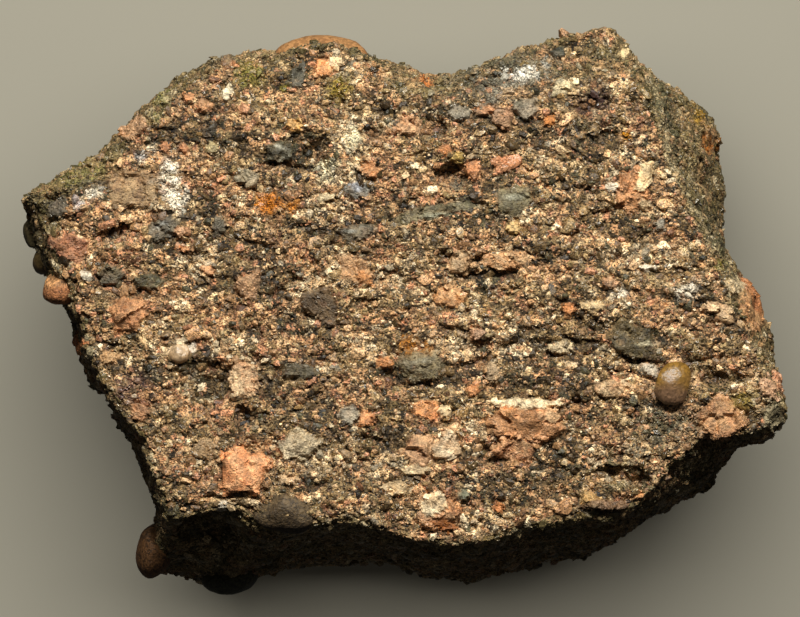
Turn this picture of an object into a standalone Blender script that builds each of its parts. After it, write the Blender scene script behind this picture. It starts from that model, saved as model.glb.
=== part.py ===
"""Arkose hand specimen: one broken block of coarse pink and grey feldspar sandstone, lying on its back.

The block is one natural piece, so it is one closed solid. Its broad broken face looks up, its rough
back rests on one small flat spot, and the pebbles and ledges that show from a step away are part of it.
"""

import math
import random

import bmesh
import bpy
import numpy as np
from mathutils import Euler, Matrix, Vector, noise

MM = 0.001

# Driving dimensions, in millimetres: +X along the broad face, +Y across it, +Z out of it.
FACE_HEIGHT = 42.8
FACE_TILT = 0.035
UPPER_FALL_FROM = 22.0
UPPER_FALL = 0.022
LEFT_FALL_FROM = -38.0
LEFT_FALL = 0.035
EDGE_ROUNDING = 0.5
EDGE_ROUNDING_WIDTH = 1.5
SHOULDER_SWELL = 0.9
SIDE_SWELL = 0.4
UNDER_SWELL = 1.2
POLE = (-0.6, 1.4)
TRIANGLES = 9400
REMESH_CELL = 0.7

# How far the broken stone departs from an even surface.
LAMINA_RELIEF = 0.45
LAMINA_LENGTH = 13.0
LAMINA_SPACING = 3.4
FACE_RELIEF = 0.5
FACE_LUMP_SIZE = 5.0
SIDE_RELIEF = 0.8
BACK_RELIEF = 1.5
LUMP_SIZE = 7.5
FACE_SWELL = 1.0
SWELL_SIZE = 20.0
BEDDING_SLOPE = 0.06
BACK_BELOW = 22.0
BACK_FADE = 8.0
FACE_ABOVE = 38.0
FACE_FADE = 3.0
SMOOTH_BELOW = 1.5
EDGE_GROWTH = 0.3

# Edge of the broad face, clockwise from its left tip: x, y.
FACE_EDGE = (
    (-47.2, 13.3), (-45.6, 15.0), (-41.9, 16.6), (-38.5, 17.7), (-36.7, 19.9), (-34.5, 22.5),
    (-30.4, 26.7), (-27.1, 29.1), (-23.5, 30.4), (-18.2, 31.9), (-7.0, 31.5), (-1.3, 30.4),
    (4.4, 28.7), (10.2, 29.7), (13.6, 31.1), (17.8, 32.4), (22.2, 33.8), (25.5, 35.1),
    (27.6, 34.4), (29.8, 31.9), (31.1, 28.4), (32.9, 23.5), (34.0, 18.8), (36.1, 15.5),
    (38.4, 11.2), (40.3, 6.6), (43.2, 2.2), (45.1, -2.4), (46.1, -6.2), (47.1, -9.8),
    (47.9, -12.3), (47.1, -14.4), (45.1, -15.6), (43.2, -16.1), (38.0, -16.5), (37.5, -19.2),
    (34.9, -21.2), (31.8, -22.9), (30.5, -24.3), (28.3, -26.4), (25.8, -26.7), (19.7, -26.7),
    (13.6, -27.7), (10.8, -29.2), (4.1, -29.8), (-0.3, -29.1), (-3.7, -27.9), (-5.7, -26.4),
    (-11.7, -26.9), (-13.7, -27.9), (-17.8, -27.4), (-19.7, -25.7), (-21.2, -25.0), (-24.6, -26.0),
    (-28.7, -26.8), (-30.1, -25.8), (-30.6, -22.7), (-31.4, -19.2), (-32.4, -16.4), (-35.6, -12.8),
    (-38.7, -8.0), (-40.0, -5.2), (-40.8, -1.9), (-42.3, 1.4), (-43.8, 5.2), (-46.4, 11.3),
)  # fmt: skip

# Where the block is widest, clockwise from its left tip: x, y, z.
WIDEST = (
    (-49.6, 14.1, 33), (-48.5, 15.3, 34), (-43.7, 18.6, 35), (-39.3, 19.3, 36), (-37.8, 21.3, 36),
    (-35.9, 23.8, 36), (-31.4, 28.3, 36), (-27.5, 30.9, 36), (-24.3, 32.0, 36), (-18.3, 33.8, 36),
    (-7.0, 33.3, 36), (-4.2, 32.8, 36), (1.9, 31.1, 36), (4.5, 30.5, 36), (7.3, 30.7, 36),
    (12.8, 32.7, 36), (15.2, 34.1, 36), (21.7, 35.7, 37), (25.5, 36.8, 37), (27.3, 37.0, 36),
    (28.8, 35.6, 33), (30.7, 33.4, 29), (33.6, 30.6, 24), (37.7, 27.9, 22), (41.3, 24.5, 22),
    (42.1, 21.9, 21), (41.9, 17.1, 20), (42.1, 13.2, 20), (42.5, 9.3, 20), (43.6, 6.0, 22),
    (44.8, 3.2, 24), (45.9, 1.4, 27), (47.2, -2.5, 27), (48.4, -7.0, 27), (49.2, -10.2, 29),
    (49.8, -12.7, 32), (49.1, -14.6, 33), (46.9, -16.7, 33), (44.6, -17.5, 33), (42.7, -18.3, 30),
    (41.5, -21.0, 27), (40.1, -23.2, 25), (36.6, -24.4, 24), (32.5, -27.1, 22), (29.4, -29.4, 20),
    (23.4, -32.1, 19), (14.9, -34.4, 18), (10.9, -35.2, 18), (6.1, -35.2, 18), (2.7, -34.6, 18),
    (-0.3, -33.6, 18), (-3.1, -32.9, 18), (-12.0, -32.8, 18), (-15.3, -33.3, 18), (-18.4, -34.8, 18),
    (-26.1, -35.4, 19), (-29.7, -34.6, 20), (-32.3, -33.3, 22), (-32.4, -31.1, 23), (-31.8, -26.7, 25),
    (-32.3, -24.4, 25), (-33.9, -18.5, 26), (-35.1, -15.9, 27), (-37.3, -13.8, 27), (-38.6, -10.5, 27),
    (-40.2, -8.4, 27), (-42.6, -2.5, 27), (-43.4, -0.1, 28), (-44.9, 1.7, 28), (-46.0, 6.3, 28),
    (-47.6, 9.2, 29), (-48.4, 11.5, 30),
)  # fmt: skip

# Where the sides turn in under the block: x, y, z.
TURN_IN = (
    (-43.5, 12.0, 21), (-35.0, 21.5, 15), (-21.5, 30.0, 11), (-5.5, 29.5, 9), (8.5, 27.0, 8),
    (21.0, 32.0, 11), (31.5, 28.5, 9), (39.0, 19.0, 6), (39.5, 6.0, 6), (44.0, -4.0, 11),
    (45.0, -12.5, 16), (37.0, -21.0, 11), (27.0, -27.5, 7), (12.0, -31.5, 5), (-4.0, -29.5, 4),
    (-19.0, -31.0, 5), (-29.0, -28.5, 9), (-32.0, -15.0, 12), (-38.5, -3.0, 16),
)  # fmt: skip

# The flat spot that the back rests on, at z = 0: x, y.
FLAT_SPOT = (
    (-16.0, 5.0), (-9.0, 10.5), (3.0, 11.0), (14.0, 9.0), (19.0, 2.0),
    (17.0, -7.0), (9.0, -12.5), (-3.0, -12.0), (-12.0, -9.5), (-17.5, -2.0),
)  # fmt: skip

# How far the unfinished shape hangs below the flat spot, so that the cut at z = 0 meets it everywhere.
HANGS_BELOW = 4.0

# Joints that the back broke along: which way each looks, as degrees around and degrees up, and how far
# it lies from the point MIDDLE_HEIGHT above the flat spot. JOINT_FLATNESS is 1 for a true plane.
MIDDLE_HEIGHT = 22.0
JOINT_FLATNESS = 0.92
BACK_JOINTS = (
    (-115, -50, 32.5), (-50, -52, 31.5), (0, -50, 33.5), (40, -50, 34.5),
    (95, -48, 26.8), (135, -50, 28.5), (190, -48, 29.0),
)  # fmt: skip

# Pebbles and feldspar fragments on the broad face: x, y, half length, half width, how far it stands out,
# and how it is turned in the face, in degrees.
FACE_CLASTS = (
    (15.2, -13.1, 4.6, 2.4, 0.9, 0),  # salmon feldspar with a white top
    (34.2, -9.2, 2.1, 2.9, 1.5, -8),  # glossy tan quartz pebble
    (29.8, 16.1, 3.3, 2.6, 0.9, 25),  # pink feldspar with a white band
    (39.9, -14.0, 2.8, 2.6, 0.8, 0),  # orange feldspar beside the corner
    (3.0, -17.4, 3.3, 2.0, 0.9, 10),  # pink and white feldspar
    (4.6, -25.3, 2.7, 2.3, 1.0, 0),  # cream feldspar with an orange foot
    (-14.9, -25.4, 3.7, 2.4, 1.5, 0),  # smoky quartz pebble
    (-20.6, -21.0, 3.5, 3.0, 0.8, 12),  # flat orange feldspar
    (-13.6, -17.0, 2.6, 2.0, 0.7, 0),  # grey-white quartz
    (-35.2, -0.3, 2.5, 2.7, 1.0, 0),  # orange-red feldspar
    (-43.2, 8.0, 2.6, 2.0, 0.9, -10),  # reddish-brown fragment
    (-16.0, 20.1, 2.3, 1.5, 0.9, -12),  # dark pebble with white streaks
    (-19.5, 4.1, 2.1, 1.6, 0.8, 0),  # pink-brown fragment
    (40.5, 0.3, 2.4, 1.3, 0.7, 0),  # cream-pink fragment
    (26.2, -9.7, 2.3, 1.5, 0.7, -15),  # cream-tan fragment
    (15.4, 25.8, 2.0, 1.7, 0.7, 0),  # grey round pebble
    (29.0, -4.3, 3.0, 1.4, 0.8, -8),  # dark green lens
    (2.2, -6.7, 2.9, 1.9, 0.6, 0),  # grey-olive pebble
    (-28.3, -5.6, 1.8, 1.5, 0.7, 0),  # tan quartz
)  # fmt: skip

# Pebbles that stand out of the sides: x, y, z of the middle, then the half sizes along X, Y and Z.
SIDE_CLASTS = (
    (-10.3, 32.6, 36.5, 5.6, 2.9, 3.6),  # orange-brown pebble along the top edge
    (-22.8, 31.4, 37.5, 1.9, 1.9, 2.2),  # grey-brown dome
    (-47.9, 10.1, 31.0, 1.3, 1.9, 2.0),  # dark glassy pebble
    (-46.3, 6.6, 30.0, 1.6, 2.2, 2.4),  # tan pebble
    (-43.4, 3.1, 37.0, 2.8, 2.4, 3.0),  # dull orange fragment
    (-41.6, -4.2, 33.0, 1.0, 1.3, 1.4),  # small orange fragment
    (-31.9, -30.9, 25.0, 2.4, 3.6, 4.0),  # brown pebble at the lower left corner
    (-22.3, -34.4, 21.0, 3.9, 2.5, 4.5),  # weathered green-brown knob
    (44.6, 0.9, 32.0, 1.6, 3.3, 3.0),  # orange fragment on the right
    (47.2, -9.5, 36.5, 1.8, 1.6, 2.0),  # pink fragment on the right
    (33.0, 24.5, 15.0, 4.2, 3.4, 3.6),  # pebble low on the upper right
    (5.0, -29.5, 12.0, 4.6, 4.0, 3.2),  # pebble low at the front
)  # fmt: skip

# Smaller pebbles strewn over the stone: how many, highest and lowest z, the largest half size, and
# the share of it that stands out.
STREWN = (
    (75, 16.0, 4.5, 3.4, 0.30),  # on the back
    (60, 36.0, 16.0, 2.6, 0.16),  # on the sides
    (40, 60.0, 38.5, 2.6, 0.28),  # on the broad face
)  # fmt: skip
STREWN_SMALLEST = 1.4
STREWN_SEED = 11

# Holes where grains have dropped out or the stone has parted: x, y, z of the deepest point,
# half sizes along X, Y and Z, and the depth.
HOLES = (
    (41.0, -17.4, 37.0, 3.8, 1.0, 5.5, 3.2),  # notch under the right-hand corner
    (28.6, -21.0, 43.0, 3.9, 0.9, 3.0, 2.6),  # crack above the lower right tier
    (37.8, -21.5, 42.0, 4.2, 3.2, 3.5, 2.6),  # lower right tier, set back
    (-25.5, -29.2, 33.0, 3.6, 2.8, 8.0, 3.6),  # hollow between the two lower left knobs
    (24.3, 25.4, 43.0, 2.9, 1.5, 3.0, 2.2),  # cavity near the peak
    (26.0, 22.0, 43.0, 1.7, 1.0, 3.0, 1.6),  # small cavity below it
    (-11.0, 20.8, 43.0, 3.6, 1.9, 3.0, 1.9),  # hollow beside the streaked pebble
    (3.9, 23.7, 43.0, 2.4, 1.7, 3.0, 1.5),  # hollow in the upper middle
    (6.6, 17.0, 43.0, 2.1, 1.6, 3.0, 1.4),  # hollow in the middle
    (-24.8, -9.4, 43.0, 2.6, 2.2, 3.0, 1.6),  # dark hollow on the left
    (-36.7, 9.9, 43.0, 2.6, 0.9, 3.0, 1.8),  # crack on the left
    (-20.4, -13.5, 43.0, 2.2, 1.0, 3.0, 1.6),  # slot above the flat feldspar
    (40.5, -8.4, 43.0, 3.2, 0.8, 3.0, 1.6),  # crack on the right
    (-43.8, 0.4, 36.0, 1.9, 1.2, 3.5, 1.6),  # undercut below the left fragment
    (-20.0, 27.0, 9.0, 9.0, 3.0, 5.0, 2.2),  # scoop out of the back, top
    (22.0, -27.0, 9.0, 8.0, 4.0, 5.0, 2.2),  # scoop out of the back, bottom
    (40.0, 8.0, 13.0, 4.0, 6.0, 5.0, 2.0),  # scoop out of the back, right
)  # fmt: skip

# Ledges along the bedding: start x, y, end x, y, the drop below the ledge, and how soon it is made up.
LEDGE_STEP_WIDTH = 0.6
LEDGE_ENDS = 6
LEDGES = (
    (7.5, -7.2, 15.0, -3.2, 0.9, 3.5),
    (15.0, -3.4, 25.5, -3.8, 1.2, 4.0),
    (25.5, -6.0, 40.0, -6.2, 0.9, 4.0),
    (26.0, 12.0, 30.5, 14.0, 0.8, 3.0),
    (-16.0, 18.3, -2.0, 17.6, 0.9, 3.5),
    (-39.0, -3.6, -24.0, -6.4, 0.7, 3.5),
    (-36.0, 13.6, -28.0, 11.0, 0.7, 3.0),
    (4.0, 5.6, 14.0, 3.8, 0.7, 3.0),
    (8.5, -16.0, 20.0, -17.2, 0.7, 3.0),
    (-26.0, -23.6, -16.0, -24.8, 0.8, 3.0),
    (-8.0, 1.2, 3.0, 0.6, 0.6, 3.0),
)  # fmt: skip

STONE_COLOUR = (0.36, 0.27, 0.19, 1.0)
STONE_ROUGHNESS = 0.85


def clear_scene():
    for thing in list(bpy.data.objects):
        bpy.data.objects.remove(thing, do_unlink=True)


def stone_material():
    material = bpy.data.materials.new("arkose_stone")
    material.use_nodes = True
    shader = material.node_tree.nodes["Principled BSDF"]
    shader.inputs["Base Color"].default_value = STONE_COLOUR
    shader.inputs["Roughness"].default_value = STONE_ROUGHNESS
    shader.inputs["Metallic"].default_value = 0.0
    return material


def face_height(x, y):
    """Height of the broad face: a slight rise towards the lower edge, turned down at the top and left."""
    height = FACE_HEIGHT - FACE_TILT * y
    height = height - UPPER_FALL * np.clip(y - UPPER_FALL_FROM, 0, None) ** 2
    height = height - LEFT_FALL * np.clip(LEFT_FALL_FROM - x, 0, None) ** 2
    for start_x, start_y, end_x, end_y, drop, recovery in LEDGES:
        along = (x - start_x) / (end_x - start_x)
        below = start_y + along * (end_y - start_y) - y
        inside = np.clip(along * LEDGE_ENDS, 0, 1) * np.clip((1 - along) * LEDGE_ENDS, 0, 1)
        step = np.clip(below / LEDGE_STEP_WIDTH, 0, 1) * np.exp(-np.clip(below, 0, None) / recovery)
        height = height - drop * inside * step
    return height


def around(outline, angles):
    """The outline's distance from the pole, and its height if it has one, at each angle."""
    points = np.array(outline, float)
    offset = points[:, :2] - POLE
    turn = np.arctan2(offset[:, 1], offset[:, 0])
    order = np.argsort(turn)
    radius = np.interp(angles, turn[order], np.hypot(*offset[order].T), period=2 * math.pi)
    if points.shape[1] == 2:
        return radius, None
    return radius, np.interp(angles, turn[order], points[order, 2], period=2 * math.pi)


def block_rings(angle_count=480, face_rings=58, edge_rings=22, side_rings=20, under_rings=22):
    """Rings of points from the middle of the face, over its edge and down the sides, to under the flat spot."""
    angles = np.linspace(-math.pi, math.pi, angle_count, endpoint=False)
    direction = np.stack([np.cos(angles), np.sin(angles)], axis=1)

    def ring(radius, height):
        flat = np.asarray(radius)[:, None] * direction + POLE
        return np.column_stack([flat, height])

    edge, _ = around(FACE_EDGE, angles)
    edge = edge + 0.5 * EDGE_GROWTH
    edge_flat = edge[:, None] * direction + POLE
    edge_height = face_height(*edge_flat.T) - EDGE_ROUNDING
    widest, widest_height = around(WIDEST, angles)
    widest = widest + EDGE_GROWTH
    turn_in, turn_in_height = around(TURN_IN, angles)
    spot, _ = around(FLAT_SPOT, angles)

    rings = []
    for share in np.linspace(0.02, 1, face_rings):
        flat = share * edge[:, None] * direction + POLE
        near_edge = np.clip(1 - (1 - share) * edge / EDGE_ROUNDING_WIDTH, 0, 1)
        rings.append(np.column_stack([flat, face_height(*flat.T) - EDGE_ROUNDING * near_edge**2]))
    for share in np.linspace(0, 1, edge_rings + 1)[1:]:
        swell = SHOULDER_SWELL * math.sin(math.pi * share)
        rings.append(ring(
            edge + share * (widest - edge) + SIDE_SWELL * swell,
            edge_height + share * (widest_height - edge_height) + swell,
        ))  # fmt: skip
    for share in np.linspace(0, 1, side_rings + 1)[1:]:
        rings.append(ring(
            widest + share * (turn_in - widest) + SIDE_SWELL * math.sin(math.pi * share),
            widest_height + share * (turn_in_height - widest_height),
        ))  # fmt: skip
    for share in np.linspace(0, 1, under_rings + 1)[1:]:
        rings.append(ring(
            turn_in + share * (spot - turn_in) + UNDER_SWELL * math.sin(math.pi * share),
            turn_in_height * (1 - share),
        ))  # fmt: skip
    for share in (0.8, 0.6, 0.4, 0.2, 0.04):
        rings.append(ring(spot * share, np.full(angle_count, -HANGS_BELOW * (1 - share))))
    return broken_flat(np.array(rings))


def broken_flat(rings):
    """The rings with what lies beyond each joint of the back pressed onto that joint's plane."""
    middle = np.array([0.0, 0.0, MIDDLE_HEIGHT])
    for azimuth, elevation, distance in BACK_JOINTS:
        turn, rise = math.radians(azimuth), math.radians(elevation)
        facing = np.array([math.cos(rise) * math.cos(turn), math.cos(rise) * math.sin(turn), math.sin(rise)])
        beyond = np.clip((rings - middle) @ facing - distance, 0, None)
        rings = rings - JOINT_FLATNESS * beyond[..., None] * facing
    return rings


def outward(rings):
    """Unit vectors that point out of the block at each ring point."""
    across = np.gradient(rings, axis=0)
    along = np.roll(rings, -1, axis=1) - np.roll(rings, 1, axis=1)
    normal = np.cross(along, across)
    normal *= -1 if normal[0, :, 2].mean() < 0 else 1
    return normal / np.linalg.norm(normal, axis=2, keepdims=True)


def roughness(point):
    """How far the broken stone stands out at a point: bedding laminae and swells, coarser on the back."""
    x, y, z = point
    across_bedding = (y + BEDDING_SLOPE * x) / LAMINA_SPACING
    laminae = noise.fractal(Vector((x / LAMINA_LENGTH, across_bedding, z / LAMINA_LENGTH)), 0.9, 2.1, 3)
    lumps = noise.fractal(Vector((x, y, z)) / LUMP_SIZE + Vector((7.1, 3.3, 1.9)), 0.8, 2.0, 4)
    small_lumps = noise.fractal(Vector((x, y, z)) / FACE_LUMP_SIZE + Vector((4.4, 0.7, 8.2)), 0.9, 2.0, 3)
    swell = noise.noise(Vector((x, y, z)) / SWELL_SIZE + Vector((2.7, 9.4, 5.5)))
    back = min(1.0, max(0.0, (BACK_BELOW - z) / BACK_FADE))
    on_face = min(1.0, max(0.0, (z - FACE_ABOVE) / FACE_FADE))
    side = SIDE_RELIEF + (BACK_RELIEF - SIDE_RELIEF) * back
    face = FACE_SWELL * swell + FACE_RELIEF * small_lumps
    return LAMINA_RELIEF * laminae + side * lumps * (1 - on_face) + face * on_face


def with_relief(rings):
    """The rings pushed in or out along their normals by the roughness and the holes."""
    normals = outward(rings)
    flat_points = rings.reshape(-1, 3)
    push = np.array([roughness(point) for point in flat_points])
    for x, y, z, half_x, half_y, half_z, depth in HOLES:
        offset = (flat_points - (x, y, z)) / (half_x, half_y, half_z)
        push -= depth * np.exp(-(offset**2).sum(axis=1) ** 1.5)
    above_spot = np.clip(flat_points[:, 2] / SMOOTH_BELOW, 0, 1)
    return rings + normals * (push * above_spot).reshape(*rings.shape[:2], 1)


def add_block(mesh, rings):
    ring_count, angle_count, _ = rings.shape
    points = [mesh.verts.new(point) for point in rings.reshape(-1, 3)]
    for ring in range(ring_count - 1):
        for step in range(angle_count):
            here = ring * angle_count + step
            beside = ring * angle_count + (step + 1) % angle_count
            mesh.faces.new((points[here], points[here + angle_count], points[beside + angle_count], points[beside]))
    mesh.faces.new(points[:angle_count])
    mesh.faces.new(points[-angle_count:][::-1])


def add_clast(mesh, centre, half_sizes, turn_degrees=0.0):
    """An uneven ellipsoid: a worn pebble or a broken feldspar grain."""
    placed = Matrix.LocRotScale(Vector(centre), Euler((0, 0, math.radians(turn_degrees))), Vector(half_sizes))
    made = bmesh.ops.create_icosphere(mesh, subdivisions=3, radius=1.0)
    for point in made["verts"]:
        seed = Vector(centre) + point.co * 1.3
        point.co = placed @ (point.co * (1 + 0.1 * noise.noise(seed)))


def add_clasts(mesh):
    for x, y, half_length, half_width, stands_out, turn in FACE_CLASTS:
        half_depth = 0.5 * (half_length + half_width)
        height = float(face_height(np.float64(x), np.float64(y)))
        add_clast(mesh, (x, y, height + stands_out - half_depth), (half_length, half_width, half_depth), turn)
    for x, y, z, half_x, half_y, half_z in SIDE_CLASTS:
        add_clast(mesh, (x, y, z), (half_x, half_y, half_z))


def strew_clasts(mesh, rings):
    """Small pebbles set in the skin at random, evenly over its area, most of each one buried."""
    chance = random.Random(STREWN_SEED)
    normals = outward(rings)
    widest = max(x for x, _, _ in WIDEST)
    for count, highest, lowest, largest, share_out in STREWN:
        placed = 0
        while placed < count:
            ring = chance.randrange(rings.shape[0])
            step = chance.randrange(rings.shape[1])
            x, y, z = rings[ring, step]
            if not lowest < z < highest or math.hypot(x, y) < widest * chance.random():
                continue
            half = STREWN_SMALLEST + (largest - STREWN_SMALLEST) * chance.random() ** 2
            half_sizes = [half * chance.uniform(0.75, 1.15) for _ in range(3)]
            centre = rings[ring, step] - normals[ring, step] * (min(half_sizes) - share_out * half)
            add_clast(mesh, centre, half_sizes, chance.uniform(0, 180))
            placed += 1


def take_modifiers(stone):
    """Makes the modified shape the object's own mesh."""
    graph = bpy.context.evaluated_depsgraph_get()
    shape = bpy.data.meshes.new_from_object(stone.evaluated_get(graph))
    stone.modifiers.clear()
    stone.data = shape


def fuse(stone):
    """Joins the block and its clasts into one skin, and thins it to the triangle budget."""
    remesh = stone.modifiers.new("one_skin", "REMESH")
    remesh.mode = "VOXEL"
    remesh.voxel_size = REMESH_CELL * MM
    worn = stone.modifiers.new("worn_creases", "SMOOTH")
    worn.factor = 0.5
    worn.iterations = 2
    take_modifiers(stone)
    decimate = stone.modifiers.new("thinned", "DECIMATE")
    decimate.ratio = TRIANGLES / (2 * len(stone.data.polygons))
    decimate.use_collapse_triangulate = True
    take_modifiers(stone)


def cut_flat_spot(mesh):
    """Cuts the back off flat at z = 0 and closes the cut."""
    everything = mesh.verts[:] + mesh.edges[:] + mesh.faces[:]
    cut = bmesh.ops.bisect_plane(
        mesh, geom=everything, plane_co=(0, 0, 0), plane_no=(0, 0, -1), clear_outer=True
    )
    rim = [part for part in cut["geom_cut"] if isinstance(part, bmesh.types.BMEdge)]
    bmesh.ops.triangle_fill(mesh, edges=rim, use_beauty=True, normal=(0, 0, -1))


def centre_over_origin(mesh):
    low = [min(point.co[axis] for point in mesh.verts) for axis in range(2)]
    high = [max(point.co[axis] for point in mesh.verts) for axis in range(2)]
    shift = Vector((-(low[0] + high[0]) / 2, -(low[1] + high[1]) / 2, 0))
    bmesh.ops.translate(mesh, verts=mesh.verts, vec=shift)


def build_arkose():
    shape = bpy.data.meshes.new("arkose")
    mesh = bmesh.new()
    rings = with_relief(block_rings())
    add_block(mesh, rings)
    add_clasts(mesh)
    strew_clasts(mesh, rings)
    bmesh.ops.scale(mesh, verts=mesh.verts, vec=(MM, MM, MM))
    bmesh.ops.recalc_face_normals(mesh, faces=mesh.faces)
    mesh.to_mesh(shape)
    mesh.free()

    stone = bpy.data.objects.new("arkose", shape)
    bpy.context.scene.collection.objects.link(stone)
    fuse(stone)

    mesh = bmesh.new()
    mesh.from_mesh(stone.data)
    cut_flat_spot(mesh)
    centre_over_origin(mesh)
    bmesh.ops.triangulate(mesh, faces=mesh.faces)
    bmesh.ops.recalc_face_normals(mesh, faces=mesh.faces)
    mesh.to_mesh(stone.data)
    mesh.free()
    stone.data.materials.append(stone_material())
    stone.data.shade_smooth()
    return stone


clear_scene()
build_arkose()
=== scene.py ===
"""The looks of an arkose hand specimen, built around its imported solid.

The stone keeps the solid's shape. Its broken skin, its pebbles and its sand grains are meshes that stand in
the solid's place, and each mineral has its own material. Sizes are in millimetres, and places on the broad
face are given in pixels of the 800 by 617 photograph.
"""

import itertools
import math

import bmesh
import bpy
import numpy as np
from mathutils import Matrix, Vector
from mathutils.bvhtree import BVHTree


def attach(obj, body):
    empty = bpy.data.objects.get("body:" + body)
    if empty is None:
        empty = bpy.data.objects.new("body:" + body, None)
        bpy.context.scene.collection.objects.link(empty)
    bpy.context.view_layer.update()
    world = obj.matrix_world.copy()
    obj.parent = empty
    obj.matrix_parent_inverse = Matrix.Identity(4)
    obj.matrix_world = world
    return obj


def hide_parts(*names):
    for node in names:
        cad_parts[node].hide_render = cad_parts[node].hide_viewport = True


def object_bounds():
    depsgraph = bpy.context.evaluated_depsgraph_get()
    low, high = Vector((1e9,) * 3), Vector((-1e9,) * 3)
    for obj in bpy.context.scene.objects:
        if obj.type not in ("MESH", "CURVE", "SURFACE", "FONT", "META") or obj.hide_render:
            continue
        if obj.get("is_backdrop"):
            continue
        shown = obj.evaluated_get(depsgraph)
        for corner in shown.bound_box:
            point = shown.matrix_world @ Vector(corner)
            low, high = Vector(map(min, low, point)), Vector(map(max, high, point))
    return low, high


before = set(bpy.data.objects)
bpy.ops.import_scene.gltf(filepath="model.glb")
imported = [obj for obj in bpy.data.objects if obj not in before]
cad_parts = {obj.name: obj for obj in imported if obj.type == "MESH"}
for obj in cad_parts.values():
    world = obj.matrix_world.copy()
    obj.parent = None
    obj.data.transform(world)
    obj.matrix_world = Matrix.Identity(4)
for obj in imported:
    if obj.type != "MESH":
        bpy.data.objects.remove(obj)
cad_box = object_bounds()

# The camera looks straight down on the broad face, as the scanner did, and takes in the same 102 by 78 mm.
# A long lens stands in for the scanner's nearly parallel view.
MM = 0.001
PIXEL = 0.127
PICTURE_WIDTH = 800
PICTURE_HEIGHT = 617
PICTURE_MIDDLE = (-0.635, 0.3175)
FACE_PLANE = 42.8
LENS = 300.0
SENSOR = 36.0
CAMERA_HEIGHT = FACE_PLANE + PICTURE_WIDTH * PIXEL * LENS / SENSOR


def new_object(name, data):
    """An object with this mesh, camera or lamp, put in the scene."""
    made = bpy.data.objects.new(name, data)
    bpy.context.scene.collection.objects.link(made)
    return made


lens = bpy.data.cameras.new("camera")
lens.lens = LENS
lens.sensor_width = SENSOR
camera = new_object("camera", lens)
camera.location = Vector((*PICTURE_MIDDLE, CAMERA_HEIGHT)) * MM
bpy.context.scene.camera = camera


def pixels(points):
    """Where points show in the photograph: offsets from its middle, over their distance from the camera."""
    scale = (CAMERA_HEIGHT - FACE_PLANE) / (CAMERA_HEIGHT - points[:, 2]) / PIXEL
    right = PICTURE_WIDTH / 2 + (points[:, 0] - PICTURE_MIDDLE[0]) * scale
    down = PICTURE_HEIGHT / 2 - (points[:, 1] - PICTURE_MIDDLE[1]) * scale
    return right, down


# The body of the stone: sand and grit of feldspar, quartz and older rock, set hard in a little
# rust-stained clay. The block was broken out with a hammer, so its skin is torn: ledges along the
# bedding, sockets that grains fell out of, and grains left standing. It lies a little inside the solid,
# and the grains reach out to the solid's skin.

# The mesh's cells (mm), half as large where the skin faces up by this much and lies this high (mm).
BODY_CELL = 0.7
FRONT_FACING, FRONT_ABOVE = 0.35, 33.0
# How far each point moves towards the middle of its neighbours, to lose the facets, and how often.
SMOOTH_SHARE, SMOOTH_ROUNDS = 0.5, 3
# The photograph shows the skin that faces up by this much and lies above this height (mm).
SHOWN_FACING, SHOWN_ABOVE = 0.12, 12.0
# How deep the skin lies on the whole (mm), and how much longer its forms are along the bedding.
SKIN_DEPTH = 0.5
BEDDING_STRETCH = (1.7, 1.0, 1.0)

# Low swells of the skin, and their finer ones: size, height (mm) and seed.
SKIN_SWELLS = ((4.2, 0.3, 11), (1.7, 0.22, 12))
# Broken blocks and single grains: size, step from one to the next, depth of the groove between them (mm),
# the groove's width as a share of the size, the tops' slant, seed, and whether they follow the bedding.
GRAIN_CELL, GRAIN_CELL_SEED = 0.85, 31
BLOCKS = (2.1, 0.26, 0.22, 0.14, 0.2, 21, True)
GRAIN_CELLS = (GRAIN_CELL, 0.22, 0.24, 0.2, 0.3, GRAIN_CELL_SEED, False)
# Sockets that grains fell out of, where slow swells dip below a level, and the clasts' slanted cleavage.
SOCKET_SIZE, SOCKET_DEPTH, SOCKET_LEVEL, SOCKET_MOST, SOCKET_SEED = 2.4, 1.1, 0.38, 0.5, 13
CLEAVAGE_SIZE, CLEAVAGE_SLANT, CLEAVAGE_SEED = 2.4, 0.22, 51
# The skin comes up to the solid's over this height above the rest spot, which stays flat.
REST_RIM = 1.5

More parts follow.
